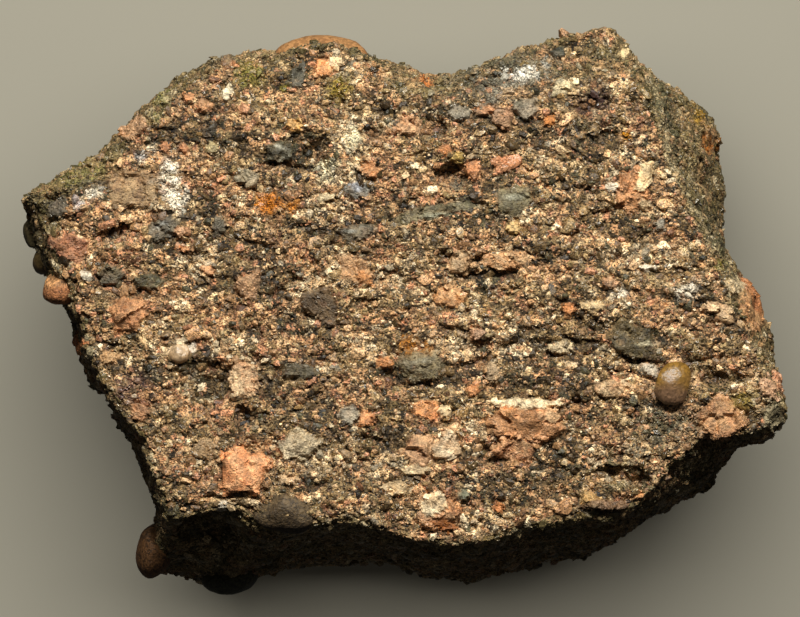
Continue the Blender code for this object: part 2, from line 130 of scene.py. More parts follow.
# Hollows, cracks and the feet of ledges on the broad face: right, down, half length, half width (pixels),
# turn (degrees) and depth (mm).
HOLLOWS = (
    (116, 232, 19, 5, 24, 1.4), (182, 243, 10, 5, 0, 0.9), (279, 159, 16, 4, 4, 1.2),
    (322, 160, 23, 7, -38, 1.1), (293, 165, 8, 5, 0, 1.0), (370, 132, 6, 9, 0, 1.0),
    (437, 129, 8, 11, 0, 1.2), (450, 175, 11, 8, 25, 0.8), (472, 134, 9, 6, 20, 0.8),
    (508, 128, 8, 5, 0, 0.9), (591, 103, 20, 12, 35, 1.1), (585, 125, 11, 5, 15, 0.9),
    (605, 137, 11, 5, 15, 1.1), (623, 207, 18, 4, 22, 1.2), (426, 214, 16, 3, 0, 0.9),
    (445, 256, 8, 4, 0, 0.9), (469, 276, 8, 4, 0, 0.9), (478, 260, 5, 4, 0, 0.9),
    (356, 288, 10, 3, 0, 0.9), (295, 279, 7, 5, 0, 0.9), (322, 274, 6, 5, 0, 0.9),
    (282, 292, 7, 5, 0, 0.9), (241, 307, 10, 4, 0, 0.9), (315, 317, 12, 4, 0, 1.0),
    (95, 338, 10, 5, -30, 1.2), (212, 388, 18, 14, 20, 1.1), (244, 414, 10, 7, 30, 0.9),
    (385, 373, 8, 5, 0, 1.0), (482, 362, 18, 4, 20, 0.8), (510, 345, 12, 5, 40, 0.8),
    (578, 344, 20, 4, 2, 0.8), (640, 362, 24, 4, -10, 1.1), (700, 362, 14, 4, 0, 0.7),
    (702, 301, 9, 4, 0, 1.0), (733, 378, 26, 5, 5, 1.0), (576, 402, 6, 5, 0, 1.4),
    (368, 438, 13, 4, 0, 1.1), (485, 449, 6, 4, 0, 1.0), (552, 447, 8, 4, 0, 0.9),
    (609, 474, 13, 4, 0, 1.2), (636, 480, 16, 4, -17, 1.2), (617, 513, 14, 5, 0, 1.5),
    (57, 303, 12, 4, 10, 1.2), (231, 498, 14, 3, 4, 1.1),
)  # fmt: skip

# Stains and crusts on the broad face, with painted light: a painted highlight along the pale crest of its
# right edge and painted shade on the flank beside it, painted glints on dark crystals, and painted shade in
# one hollow: right, down, half length, half width (pixels), turn (degrees), colour and strength.
WHITE_CRUST = "#E6DCC6"
YELLOW_CRUST = "#E6DDB8"
RUST = "#B8701E"
LICHEN = "#7D7430"
# The next colour is painted in as glints: painted highlights on dark crystals.
PAINTED_GLINT = "#C8C4B0"
# The next two colours are painted shade on the right flank and a painted highlight on its crest.
FLANK_PAINTED_SHADE = "#545038"
CREST_PAINTED_HIGHLIGHT = "#CDBB92"
STAINS_AND_PAINTED_LIGHT = (
    (172, 188, 30, 8, 105, WHITE_CRUST, 1.0), (79, 204, 6, 5, 0, "#D6D6D6", 0.7),
    (140, 155, 6, 4, 0, "#CFCFCC", 0.6), (92, 193, 9, 6, 10, WHITE_CRUST, 0.9),
    (352, 139, 9, 11, 0, YELLOW_CRUST, 0.8), (330, 164, 16, 6, 0, YELLOW_CRUST, 0.8),
    (324, 178, 7, 8, 0, YELLOW_CRUST, 0.7), (689, 292, 11, 8, 0, WHITE_CRUST, 0.7),
    (620, 291, 6, 4, 0, WHITE_CRUST, 0.8), (500, 80, 46, 26, 22, "#5C5848", 0.8),
    (520, 73, 15, 6, 12, "#ECE8DA", 1.2), (508, 84, 20, 9, 30, "#A8A08C", 0.5),
    (270, 202, 10, 7, 0, RUST, 1.4), (290, 207, 7, 6, 0, "#B5762A", 0.8),
    (409, 344, 10, 7, 0, "#9A6420", 1.3), (428, 347, 8, 6, 0, "#9A6420", 0.8),
    (626, 136, 6, 5, 0, "#B57A1E", 0.9), (427, 76, 7, 5, 0, "#B86C30", 0.8),
    (713, 143, 8, 9, 0, "#9A5B1D", 0.8), (701, 114, 8, 7, 0, "#8B6A1E", 0.8),
    (251, 72, 11, 12, 0, LICHEN, 0.7), (339, 88, 12, 9, 0, "#8C7A22", 0.75),
    (160, 96, 9, 8, 0, "#6C6A35", 0.6), (157, 117, 8, 8, 0, "#66673A", 0.55),
    (722, 262, 6, 8, 0, LICHEN, 0.7), (745, 400, 12, 11, 0, "#7D6A2A", 0.7),
    (285, 87, 5, 4, 0, LICHEN, 0.7), (68, 292, 5, 4, 0, LICHEN, 0.6),
    (83, 285, 4, 4, 0, LICHEN, 0.6), (75, 175, 34, 8, 18, "#7A7440", 0.55),
    # The thin pale grey strips on dark crystals in the rows from here to the one at 515, 197 are painted
    # glints: painted highlights.
    (280, 147, 9, 2, -20, PAINTED_GLINT, 1.0), (286, 157, 6, 2, 30, PAINTED_GLINT, 0.9),
    (357, 186, 5, 3, 0, "#C4C8D0", 1.0), (650, 343, 10, 2, 0, "#D8CDAA", 1.2),
    (352, 230, 8, 2, 10, "#A8A89C", 0.8), (436, 216, 14, 2, 8, "#A0A088", 0.7),
    (160, 225, 9, 2, 25, "#9C9C94", 0.7), (424, 360, 12, 2, 5, "#A8A28C", 0.6),
    # The olive strips along the right flank are painted shade beside the crest, and the tan strips on the
    # crest are a painted highlight.
    (515, 197, 9, 2, 0, "#A8A690", 0.6), (668, 112, 54, 5, -75, FLANK_PAINTED_SHADE, 0.7),
    (707, 218, 60, 5, -63, FLANK_PAINTED_SHADE, 0.7), (660, 110, 50, 2, -75, CREST_PAINTED_HIGHLIGHT, 0.5),
    (699, 216, 58, 2, -63, CREST_PAINTED_HIGHLIGHT, 0.5), (128, 391, 18, 16, 0, "#6B4A44", 0.5),
    # The dark mark at 591, 103 is painted shade in the hollow there.
    (591, 103, 22, 14, 35, "#3A2420", 0.8), (670, 425, 30, 20, 0, "#65624E", 0.6),
)  # fmt: skip
# How strong every stain and mark of painted light is made, and the most that one hides of what it lies on.
STAIN_AND_PAINTED_LIGHT_GAIN, STAIN_AND_PAINTED_LIGHT_MOST = 1.6, 0.95

# Crystals and bits of older rock on the broad face that can be told apart by eye, called clasts from here
# on: right, down, half length, half width (pixels), turn (degrees), how far each stands out of the sand
# (mm), and its two colours.
FELDSPAR_CLASTS = (
    (524, 420, 36, 20, -2, 0.7, "#DA9C6C", "#C08658"), (526, 403, 34, 6, -3, 0.8, "#FFF0CC", "#F4DAAC"),
    (552, 416, 8, 8, 0, 0.6, "#E2BC90", "#CC9C70"), (517, 450, 20, 11, 0, 0.2, "#CA8A60", "#E0AE80"),
    (243, 472, 27, 24, 20, 0.6, "#EE9660", "#FAB884"), (242, 504, 18, 5, 0, 0.1, "#E2C9A4", "#D5B68C"),
    (222, 508, 6, 4, 0, 0.2, "#EFE8DA", "#E6DCCB"), (634, 190, 19, 19, 25, 0.4, "#BE8258", "#CE9464"),
    (646, 179, 9, 14, -25, 0.6, "#F6E4B8", "#EACA98"), (720, 418, 21, 20, 0, 0.5, "#B47E56", "#DCA878"),
    (420, 450, 17, 15, 15, 0.5, "#B2805C", "#DAAE84"), (445, 447, 16, 11, 48, 0.5, "#F0DCBC", "#D6B28C"),
    (417, 470, 15, 6, 0, 0.2, "#E0CDAA", "#D3BA92"), (441, 511, 21, 17, -10, 0.6, "#B6784C", "#DCA87C"),
    (435, 505, 14, 10, 30, 0.6, "#F8EAC8", "#E6CAA0"), (445, 525, 13, 5, -15, 0.3, "#985424", "#B4682E"),
    (127, 313, 19, 19, 0, 0.5, "#BE8258", "#DCA070"), (353, 268, 20, 12, -30, 0.2, "#AA8058", "#CC9E74"),
    (365, 279, 10, 5, -40, 0.4, "#C47E4A", "#D08A50"), (247, 285, 17, 13, 15, 0.2, "#AA8262", "#BC9470"),
    (180, 232, 8, 6, 0, 0.3, "#C08C68", "#D0A480"), (108, 358, 10, 6, 0, 0.3, "#C79A6A", "#D3AA7C"),
    (242, 380, 15, 19, 0, 0.3, "#D4A078", "#E6C8A0"), (449, 296, 15, 12, 0, 0.3, "#C4844E", "#D8A878"),
    (460, 260, 10, 13, -15, 0.4, "#A47E58", "#C8AC88"), (505, 261, 22, 9, 8, 0.3, "#E2BE92", "#D99A66"),
    (503, 116, 11, 12, 0, 0.3, "#B08464", "#C49C7C"), (484, 108, 9, 8, 0, 0.4, "#C98050", "#D59468"),
    (411, 125, 13, 9, -20, 0.3, "#C68E62", "#D8AA82"), (323, 67, 10, 8, 0, 0.4, "#D88A50", "#E0A06C"),
    (335, 62, 8, 5, 0, 0.4, "#EFD9B4", "#E6CBA0"), (564, 86, 11, 9, 30, 0.5, "#EBDDB8", "#DFCFA6"),
    (549, 121, 6, 5, 0, 0.4, "#D98540", "#D98540"), (297, 127, 6, 8, 20, 0.3, "#D9A85A", "#E2BC78"),
    (371, 170, 10, 8, 0, 0.4, "#D2864E", "#DE9E6C"), (328, 197, 8, 4, 0, 0.3, "#EBD9B2", "#EBD9B2"),
    (458, 160, 6, 6, 0, 0.4, "#D8B45E", "#E0C47A"), (472, 168, 8, 9, 0, 0.4, "#CC7F4E", "#D99668"),
    (503, 164, 9, 9, 0, 0.4, "#CB7E55", "#D8966E"), (445, 150, 6, 6, 0, 0.4, "#CB7E48", "#D79560"),
    (513, 228, 9, 6, 0, 0.3, "#CDA86A", "#D8B87E"), (646, 204, 7, 6, 0, 0.3, "#E9D5B0", "#E0C498"),
    (612, 187, 6, 4, 0, 0.3, "#EDE6D6", "#EDE6D6"), (625, 50, 8, 5, 10, 0.4, "#E6D3A8", "#DAC494"),
    (647, 267, 8, 3, 0, 0.2, "#E8E0D0", "#E8E0D0"), (610, 282, 8, 6, 0, 0.3, "#C08C68", "#D0A480"),
    (569, 309, 7, 6, 0, 0.4, "#CF8148", "#DA9864"), (590, 306, 12, 5, 0, 0.3, "#E3CDA4", "#D8BC8C"),
    (719, 308, 18, 9, 0, 0.3, "#D8B088", "#E8CDA4"), (561, 349, 10, 6, 0, 0.4, "#E3CCA0", "#EAD8B4"),
    (611, 388, 18, 10, 15, 0.4, "#DEC29A", "#C99C74"), (476, 334, 8, 7, 0, 0.3, "#CC9A7A", "#D6AC8E"),
    (383, 362, 7, 6, 0, 0.3, "#CF7E44", "#DA9660"), (427, 409, 14, 9, 0, 0.4, "#CF8048", "#DB9C68"),
    (445, 411, 7, 6, 0, 0.5, "#EBD3A8", "#EBD3A8"), (474, 390, 7, 6, 0, 0.3, "#CC7C44", "#D89460"),
    (368, 418, 9, 7, 0, 0.4, "#CC7E4C", "#D89868"), (139, 411, 10, 9, 0, 0.3, "#B88058", "#CC9C74"),
    (134, 126, 13, 10, 30, 0.3, "#B4845E", "#C69C78"), (182, 249, 6, 4, 0, 0.3, "#C97C48", "#D69260"),
    (209, 270, 6, 5, 0, 0.3, "#C98A5C", "#D69C70"), (189, 95, 6, 5, 0, 0.3, "#C98A5C", "#D69C70"),
    (204, 104, 8, 7, 0, 0.3, "#B47C54", "#C4946C"), (244, 109, 6, 6, 0, 0.3, "#CC8458", "#D89C78"),
    (293, 125, 6, 6, 0, 0.3, "#D09A58", "#DCB074"), (229, 62, 8, 6, 0, 0.3, "#CC7E50", "#D8946C"),
    (165, 147, 6, 5, 0, 0.3, "#B4744C", "#C48A64"), (183, 148, 5, 5, 0, 0.3, "#B4744C", "#C48A64"),
    (228, 91, 5, 7, 0, 0.3, "#EFE6CC", "#EFE6CC"), (163, 97, 6, 4, 20, 0.3, "#E9D9B0", "#DCCA9C"),
    (212, 148, 5, 6, 0, 0.3, "#E6D4A0", "#E6D4A0"), (589, 499, 10, 9, 0, 0.4, "#D3A868", "#DEBA80"),
    (640, 497, 6, 5, 0, 0.4, "#CF8A50", "#DAA06C"), (499, 507, 6, 5, 0, 0.3, "#CF8048", "#DA9864"),
    (397, 487, 13, 8, 0, 0.2, "#E0C8A0", "#D2B488"), (288, 478, 12, 6, 0, 0.2, "#E6C49A", "#DAB286"),
    (182, 341, 6, 4, 0, 0.3, "#E8D6B4", "#E8D6B4"), (194, 347, 5, 5, 0, 0.3, "#F0E8DC", "#F0E8DC"),
    (85, 275, 5, 6, 0, 0.4, "#F0ECE0", "#E4DED0"), (80, 344, 4, 5, 0, 0.3, "#CC7A48", "#CC7A48"),
    (769, 386, 13, 9, -40, 0.3, "#CFA07E", "#DDB494"), (755, 310, 9, 23, 12, 0.3, "#B07A50", "#D0A070"),
    (737, 284, 9, 8, 0, 0.3, "#EAD8B4", "#D8C098"), (70, 248, 22, 14, -8, 0.3, "#8E5840", "#A46E50"),
    (204, 447, 12, 9, 0, 0.2, "#B0906A", "#C0A27E"),
)  # fmt: skip
QUARTZ_CLASTS = (
    (300, 445, 20, 16, 0, 0.4, "#A89C84", "#DACAAA"), (526, 108, 12, 12, 0, 0.5, "#8A8070", "#9A9080"),
    (661, 225, 6, 6, 0, 0.4, "#8E8C82", "#A2A096"), (246, 177, 10, 6, 0, 0.3, "#8A8470", "#9A9480"),
    (358, 190, 11, 9, 0, 0.2, "#4C4E4C", "#6A6C68"), (649, 370, 8, 7, 0, 0.4, "#C4BEB0", "#D4CEC0"),
    (349, 414, 9, 9, 0, 0.4, "#908A7C", "#A09A8C"), (459, 112, 11, 8, 0, 0.4, "#8A8478", "#9A9488"),
    (776, 418, 13, 15, -20, 0.0, "#8C8468", "#A09678"), (465, 495, 5, 6, 0, 0.3, "#7A8270", "#8A9280"),
)  # fmt: skip
ROCK_CLASTS = (
    (280, 152, 17, 11, -15, 0.5, "#343226", "#4C4A38"), (436, 211, 44, 7, 8, 0.1, "#565440", "#6E6A50"),
    (513, 201, 18, 14, 0, 0.2, "#5E5A44", "#7C765C"), (356, 232, 18, 8, 4, 0.2, "#3A3A34", "#5A5648"),
    (321, 307, 22, 13, -52, 0.3, "#62503C", "#4E4030"), (301, 372, 18, 7, 0, 0.2, "#3A3A30", "#545042"),
    (150, 280, 16, 7, 0, 0.2, "#34362A", "#4E4E3A"), (111, 275, 14, 10, 0, 0.2, "#3C3C30", "#565240"),
    (163, 228, 18, 10, 25, 0.2, "#504E46", "#6A6454"), (57, 207, 12, 10, 0, 0.3, "#4A463E", "#5A564C"),
    (297, 77, 8, 11, 0, 0.3, "#4A4A42", "#5C5C52"), (559, 52, 7, 5, 0, 0.3, "#2E3430", "#40463E"),
    (218, 225, 7, 10, 0, 0.2, "#4A4A44", "#5C5A50"), (633, 342, 27, 18, -25, 0.3, "#34301E", "#544A32"),
    (422, 364, 23, 15, 0, 0.2, "#625A44", "#7E7458"), (493, 373, 8, 10, 0, 0.3, "#A08868", "#B0987A"),
    (130, 188, 26, 19, 18, 0.2, "#907050", "#A88C68"), (607, 505, 27, 6, 0, 0.3, "#6A4E38", "#7C5E46"),
    (210, 130, 5, 4, 0, 0.3, "#3A3630", "#4A463E"),
)  # fmt: skip
CLASTS = FELDSPAR_CLASTS + QUARTZ_CLASTS + ROCK_CLASTS
# Crystals that stand out along the outline: middle and half sizes (mm) and colour.
EDGE_CLASTS = (
    ((-41.9, -4.3, 33.0), (1.0, 1.3, 1.4), "#C07A4C"), ((-23.1, 31.3, 37.2), (1.9, 1.9, 2.2), "#6E6248"),
    ((44.3, 0.8, 32.0), (1.6, 3.3, 3.0), "#B8784A"), ((46.9, -9.6, 36.5), (1.8, 1.6, 2.0), "#C89270"),
    ((4.7, -29.6, 12.0), (4.6, 4.0, 3.2), "#8A6C4A"), ((32.7, 24.4, 15.0), (4.2, 3.4, 3.6), "#6A5E48"),
)  # fmt: skip
# A clast has six rough sides. Its top is a low dome with a share of the sand's relief, a little sunk, and
# a narrow groove runs round it. Places and widths are in half sizes of the clast.
CLAST_SIDES, SIDE_SEED = 6, 91
SIDE_JITTER = 0.8
SIDE_PLACES = (0.8, 0.25)
CLAST_RELIEF, CLAST_BED, CLAST_DOME = 0.15, 0.12, 0.15
CLAST_EDGE, CLAST_EDGE_WIDTH = 1.05, 0.12
RIM_GROOVE, RIM_PLACE, RIM_WIDTH = 0.3, 1.12, 0.1
EDGE_CLAST_BED = 0.2
EDGE_CLAST_EDGE, EDGE_CLAST_EDGE_WIDTH = 1.25, 0.15
# The power that makes a mark's ellipse blocky, and how many half sizes away a mark has ended.
BLOCKINESS, FAR = 2.6, 4.0
# How ragged the edges of the marks are: size (mm), share of the mark's own size, and seed.
RAGGED_SWELLS = ((1.4, 0.28, 71), (0.55, 0.16, 72))
CLAST_RAGGED, MARK_RAGGED = 0.6, 2.0
# Large primes that mix up whole numbers: for a cube's place, for the seed, and for two rounds of stirring.
PLACE_PRIMES, SEED_PRIME = (73856093, 19349663, 83492791), 668265263
STIRRING_PRIMES = (2246822519, 3266489917)
# Times these, one random number gives others, in what stands after the point.
OTHER_SHARE, FOUR_SHARES = 31, (1, 17, 289, 4913)


def linear(colour):
    """A "#RRGGBB" sRGB colour as linear light: ((c + 0.055) / 1.055) ^ 2.4, or c / 12.92 if very dark."""
    channels = np.array([int(colour[place : place + 2], 16) for place in (1, 3, 5)]) / 255
    return np.where(channels > 0.04045, ((channels + 0.055) / 1.055) ** 2.4, channels / 12.92)


def chance(cells, seed):
    """An even random number from 0 to 1 for each row of whole numbers, by mixing its bits with the seed."""
    key = (cells.astype(np.int64) * PLACE_PRIMES).sum(axis=-1) + seed * SEED_PRIME
    key = key.astype(np.uint64)
    key = (key ^ (key >> np.uint64(15))) * np.uint64(STIRRING_PRIMES[0])
    key = (key ^ (key >> np.uint64(13))) * np.uint64(STIRRING_PRIMES[1])
    return ((key ^ (key >> np.uint64(16))) & np.uint64(0xFFFFFF)) / 0xFFFFFF


def swells(points, size, seed):
    """Random heights from -1 to 1 at the corners of cubes of this size, blended between by 3t^2 - 2t^3."""
    place = points / size
    corner = np.floor(place)
    share = place - corner
    share = share * share * (3 - 2 * share)
    total = np.zeros(len(points))
    for shift in itertools.product((0, 1), repeat=3):
        total += np.where(shift, share, 1 - share).prod(axis=1) * chance(corner + shift, seed)
    return 2 * total - 1


def summed_swells(points, rows):
    """The sum of several swells, each times its own height."""
    return sum(height * swells(points, size, seed) for size, height, seed in rows)


def packed_cells(points, size, seed):
    """Cells around one random point in each cube: how far inside its cell a point lies, as the distance of
    the second nearest less the nearest's, the cell's random number, and the way from its middle."""
    place = points / size
    cube = np.floor(place)
    nearest = np.full(len(points), np.inf)
    second = nearest.copy()
    number = np.zeros(len(points))
    offset = np.zeros((len(points), 3))
    for shift in itertools.product((-1, 0, 1), repeat=3):
        there = cube + shift
        apart = place - there - np.stack([chance(there, seed + axis) for axis in range(3)], axis=1)
        away = np.linalg.norm(apart, axis=1)
        closer = away < nearest
        second = np.where(closer, nearest, np.minimum(second, away))
        number = np.where(closer, chance(there, seed + 3), number)
        offset = np.where(closer[:, None], apart, offset)
        nearest = np.where(closer, away, nearest)
    return second - nearest, number, offset * size


def slants(number, offset, steepness):
    """The height of each cell's own slanted plane: the way from its middle times a direction that its
    number sets."""
    turn = 2 * math.pi * ((number * OTHER_SHARE) % 1)
    facing = np.stack([np.cos(turn), np.sin(turn), np.cos(3 * turn)], axis=1)
    return steepness * (offset * facing).sum(axis=1)


def spots(points, normals):
    """The pixels where points show, and whether they lie on the broad face or a side that can be seen."""
    right, down = pixels(points)
    return right, down, (normals[:, 2] > SHOWN_FACING) & (points[:, 2] > SHOWN_ABOVE)


def reach(spot, right, down, half_length, half_width, turn, sides=0):
    """How far each spot is from the middle of a mark on the broad face, from the distances a along and b
    beside its middle in half sizes: (a^q + b^q)^(1/q) for a blocky ellipse. For an outline with straight
    sides it is the largest of the distances towards them, each over its side's distance from the middle."""
    there_right, there_down, shows = spot
    turn = math.radians(turn)
    across, up = there_right - right, down - there_down
    near = shows & (np.abs(across) + np.abs(up) < FAR * max(half_length, half_width))
    across, up = across[near], up[near]
    along = (across * math.cos(turn) + up * math.sin(turn)) / half_length
    beside = (up * math.cos(turn) - across * math.sin(turn)) / half_width
    if sides:
        draws = chance(np.array([[right, down, side] for side in range(sides)]), SIDE_SEED)
        facings = 2 * math.pi * (np.arange(sides) + SIDE_JITTER * draws) / sides
        distances = SIDE_PLACES[0] + SIDE_PLACES[1] * ((draws * OTHER_SHARE) % 1)
        slopes = np.stack([np.cos(facings), np.sin(facings)]) / distances
        away_near = (np.stack([along, beside], axis=1) @ slopes).max(axis=1)
    else:
        away_near = (np.abs(along) ** BLOCKINESS + np.abs(beside) ** BLOCKINESS) ** (1 / BLOCKINESS)
    away = np.full(len(shows), FAR)
    away[near] = np.minimum(away_near, FAR)
    return away


# What the grains are made of, as the share of each mineral, the colours that its grains have, and how dark
# and how light they are drawn. A patch of like grains is 3 mm across, and half of them are of its mineral.
MINERAL_SHARES = {"feldspar": 0.42, "quartz": 0.26, "cream": 0.14, "rock": 0.18}
GRAIN_COLOURS = {
    "feldspar": ("#C69F72", "#BE9065", "#B48B62", "#A88158", "#D0AA7E", "#B98460"),
    "quartz": ("#9A805A", "#AC9168", "#806946", "#BCA178", "#8E7954", "#92754C"),
    "cream": ("#DFC196", "#EBD6B0", "#D0AE82", "#D8BC8E", "#E2CCA6", "#C6A478"),
    "rock": ("#4E3E28", "#5E4C32", "#3A2D1C", "#685436", "#705A3A", "#4C4630"),
}
PATCH_SIZE, PATCH_HOLD, PATCH_SEED = 2.9, 0.52, 40
DARKEST_GRAIN, LIGHTEST_GRAIN = 0.25, 1.5
# A clast's own colour shows this far through the sand that sticks to it, with fewer specks and a little
# dust, in blots of its two colours, lighter and darker by turns: size (mm), strength and seed. Its colour
# ends at a rim, in half sizes.
CLAST_PURITY, CLAST_CALM = 0.87, 0.75
DUST_COLOUR, DUST_SHARE = "#B89A6A", 0.15
CLAST_BLOTS = ((1.2, 0.8, 75), (0.45, 0.7, 76))
CLAST_SHADES = ((0.9, 0.3, 77), (0.4, 0.35, 78))
CLAST_RIM, CLAST_RIM_WIDTH = 1.1, 0.12
EDGE_CLAST_RIM, EDGE_CLAST_RIM_WIDTH = 1.3, 0.3
# Each stain and mark of painted light covers this share of what it lies on, more or less in flecks: size
# (mm), strength and seed.
STAIN_AND_PAINTED_LIGHT_COVER = 0.65
STAIN_AND_PAINTED_LIGHT_FLECKS = ((0.5, 0.9, 79),)
# Painted shade in the hollows takes up to this share of the colour, all of it from this depth under the
# sand (mm).
HOLLOW_PAINTED_SHADE, HOLLOW_PAINTED_SHADE_DEPTH = 0.45, 1.2
# A thin olive-brown film of weathering evens out the colours of the sides, which face up by less than this,
# and painted shade darkens them.
FILM_AND_SHADE_COLOUR, FILM_AND_SHADE_SHARE = "#645C3A", 0.58
FILM_AND_SHADE_FACING, FILM_AND_SHADE_FADE = 0.9, 0.1


def mineral_at(points):
    """The number of the mineral that is commonest around each point, in patches along the bedding."""
    _, number, _ = packed_cells(points / BEDDING_STRETCH, PATCH_SIZE, PATCH_SEED)
    return np.searchsorted(np.cumsum(list(MINERAL_SHARES.values())), number)


def grain_kinds(points, number):
    """The minerals and colours of grains at these points. Four numbers got from each grain's own decide
    whether it is of its patch's mineral, which it is otherwise, its colour and how dark it is."""
    holds, other, hue, shade = ((number[:, None] * FOUR_SHARES) % 1).T
    other = np.searchsorted(np.cumsum(list(MINERAL_SHARES.values())), other)
    kinds = np.clip(np.where(holds < PATCH_HOLD, mineral_at(points), other), 0, len(MINERAL_SHARES) - 1)
    palette = np.array([[linear(colour) for colour in colours] for colours in GRAIN_COLOURS.values()])
    colours = palette[kinds, (hue * palette.shape[1]).astype(int)]
    return kinds, colours * (DARKEST_GRAIN + (LIGHTEST_GRAIN - DARKEST_GRAIN) * shade)[:, None]


def toned(colours, points, normals):
    """The colours blended towards the film's on the sides, which also paints shade there, towards dusty
    blots of its two colours in each clast, and towards the colour of each stain, painted shade and painted
    highlight by exp(-r^3), where r counts half sizes. The fourth column is how strongly specks show: less
    on clasts."""
    # The sides go towards the film's colour: a weathering film, and painted shade.
    film_and_shade = FILM_AND_SHADE_SHARE * np.clip((FILM_AND_SHADE_FACING - normals[:, 2]) / FILM_AND_SHADE_FADE, 0, 1)[:, None]
    colours = colours + film_and_shade * (linear(FILM_AND_SHADE_COLOUR) - colours)
    specked = np.ones((len(points), 1))
    spot = spots(points, normals)
    ragged = 1 + summed_swells(points, RAGGED_SWELLS)
    blend = np.clip(0.5 + summed_swells(points, CLAST_BLOTS), 0, 1)[:, None]
    shade = (1 + summed_swells(points, CLAST_SHADES))[:, None]
    flecks = np.clip(STAIN_AND_PAINTED_LIGHT_COVER + summed_swells(points, STAIN_AND_PAINTED_LIGHT_FLECKS), 0, 1)
    for *place, _, colour, second_colour in CLASTS:
        away = reach(spot, *place, CLAST_SIDES) * ragged**CLAST_RAGGED
        inside = np.clip((CLAST_RIM - away) / CLAST_RIM_WIDTH, 0, 1)[:, None]
        own = linear(colour) + blend * (linear(second_colour) - linear(colour))
        own = shade * own ** (1 - DUST_SHARE) * linear(DUST_COLOUR) ** DUST_SHARE
        colours = colours + CLAST_PURITY * inside * (own - colours)
        specked = specked + inside * (1 - CLAST_CALM - specked)
    for middle, half_sizes, colour in EDGE_CLASTS:
        away = np.linalg.norm((points - middle) / half_sizes, axis=1) * ragged
        inside = np.clip((EDGE_CLAST_RIM - away) / EDGE_CLAST_RIM_WIDTH, 0, 1)[:, None]
        colours = colours + CLAST_PURITY * inside * (shade * linear(colour) - colours)
    # Stains, and the marks of painted shade and painted highlight.
    for *place, colour, strength in STAINS_AND_PAINTED_LIGHT:
        away = reach(spot, *place) * ragged**MARK_RAGGED
        share = np.clip(STAIN_AND_PAINTED_LIGHT_GAIN * strength * flecks * np.exp(-(away**3)), 0, STAIN_AND_PAINTED_LIGHT_MOST)[:, None]
        colours = colours + share * (linear(colour) - colours)
    return np.concatenate([colours, specked], axis=1)


def cracked(points, size, step, groove, groove_width, slant, seed, bedded):
    """How deep a skin of packed cells lies: each cell's own step and slanted top, and a groove between the
    cells, groove * exp(-inside / groove_width)."""
    place = points / BEDDING_STRETCH if bedded else points
    inside, number, offset = packed_cells(place, size, seed)
    return step * (number - 0.5) + groove * np.exp(-inside / groove_width) + slants(number, offset, slant)


def torn_skin(points, normals):
    """How deep the skin lies under the solid's: swells, broken blocks, grains, sockets where slow swells
    dip below a level, the marked hollows, and the clasts' low domes in their grooves."""
    bedded = points / BEDDING_STRETCH
    depth = SKIN_DEPTH + summed_swells(bedded, SKIN_SWELLS)
    depth += cracked(points, *BLOCKS) + cracked(points, *GRAIN_CELLS)
    sunken = -swells(bedded, SOCKET_SIZE, SOCKET_SEED) - SOCKET_LEVEL
    depth += SOCKET_DEPTH * np.clip(sunken, 0, SOCKET_MOST)
    spot = spots(points, normals)
    ragged = 1 + summed_swells(points, RAGGED_SWELLS)
    _, number, offset = packed_cells(points, CLEAVAGE_SIZE, CLEAVAGE_SEED)
    cleaved = slants(number, offset, CLEAVAGE_SLANT)
    for *place, hollow in HOLLOWS:
        away = reach(spot, *place) * ragged**MARK_RAGGED
        depth += hollow * np.exp(-(away**3))
    for *place, rise, _, _ in CLASTS:
        away = reach(spot, *place, CLAST_SIDES) * ragged**CLAST_RAGGED
        top = SKIN_DEPTH + CLAST_BED - rise * (1 - CLAST_DOME * away**2)
        top = top + CLAST_RELIEF * (depth - SKIN_DEPTH)
        depth += np.clip((CLAST_EDGE - away) / CLAST_EDGE_WIDTH, 0, 1) * (top + cleaved - depth)
        depth += RIM_GROOVE * np.exp(-(((away - RIM_PLACE) / RIM_WIDTH) ** 2))
    for middle, half_sizes, _ in EDGE_CLASTS:
        away = np.linalg.norm((points - middle) / half_sizes, axis=1)
        top = EDGE_CLAST_BED + CLAST_RELIEF * (depth - SKIN_DEPTH) + cleaved
        depth += np.clip((EDGE_CLAST_EDGE - away) / EDGE_CLAST_EDGE_WIDTH, 0, 1) * (top - depth)
    return depth * np.clip(points[:, 2] / REST_RIM, 0, 1)


def painted_hollow_shade(depth):
    """The share of its colour that a grain keeps: less the deeper it lies in the hollows, as painted shade.
    """
    return (1 - HOLLOW_PAINTED_SHADE * np.clip((depth - SKIN_DEPTH) / HOLLOW_PAINTED_SHADE_DEPTH, 0, 1))[:, None]


def rows_of(items, name, kind=np.float32):
    """The three values of each item of a mesh under this name, as rows."""
    values = np.empty(3 * len(items), kind)
    items.foreach_get(name, values)
    return values.reshape(-1, 3)


# The solid's faces, joined where their corners are the same (mm), then its form in even cells, unfaceted.
SAME_CORNER = 0.001
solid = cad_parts["arkose"]
merged = bmesh.new()
merged.from_mesh(solid.data)
bmesh.ops.remove_doubles(merged, verts=merged.verts, dist=SAME_CORNER * MM)
skin_tree = BVHTree.FromBMesh(merged)
rough_mesh = bpy.data.meshes.new("arkose_body")
merged.to_mesh(rough_mesh)
merged.free()
body = new_object("arkose_body", rough_mesh)
remesh = body.modifiers.new("even_cells", "REMESH")
remesh.mode = "VOXEL"
remesh.voxel_size = BODY_CELL * MM
smooth = body.modifiers.new("no_facets", "SMOOTH")
smooth.factor = SMOOTH_SHARE
smooth.iterations = SMOOTH_ROUNDS
body_mesh = bpy.data.meshes.new_from_object(body.evaluated_get(bpy.context.evaluated_depsgraph_get()))
body.modifiers.clear()
body.data = body_mesh

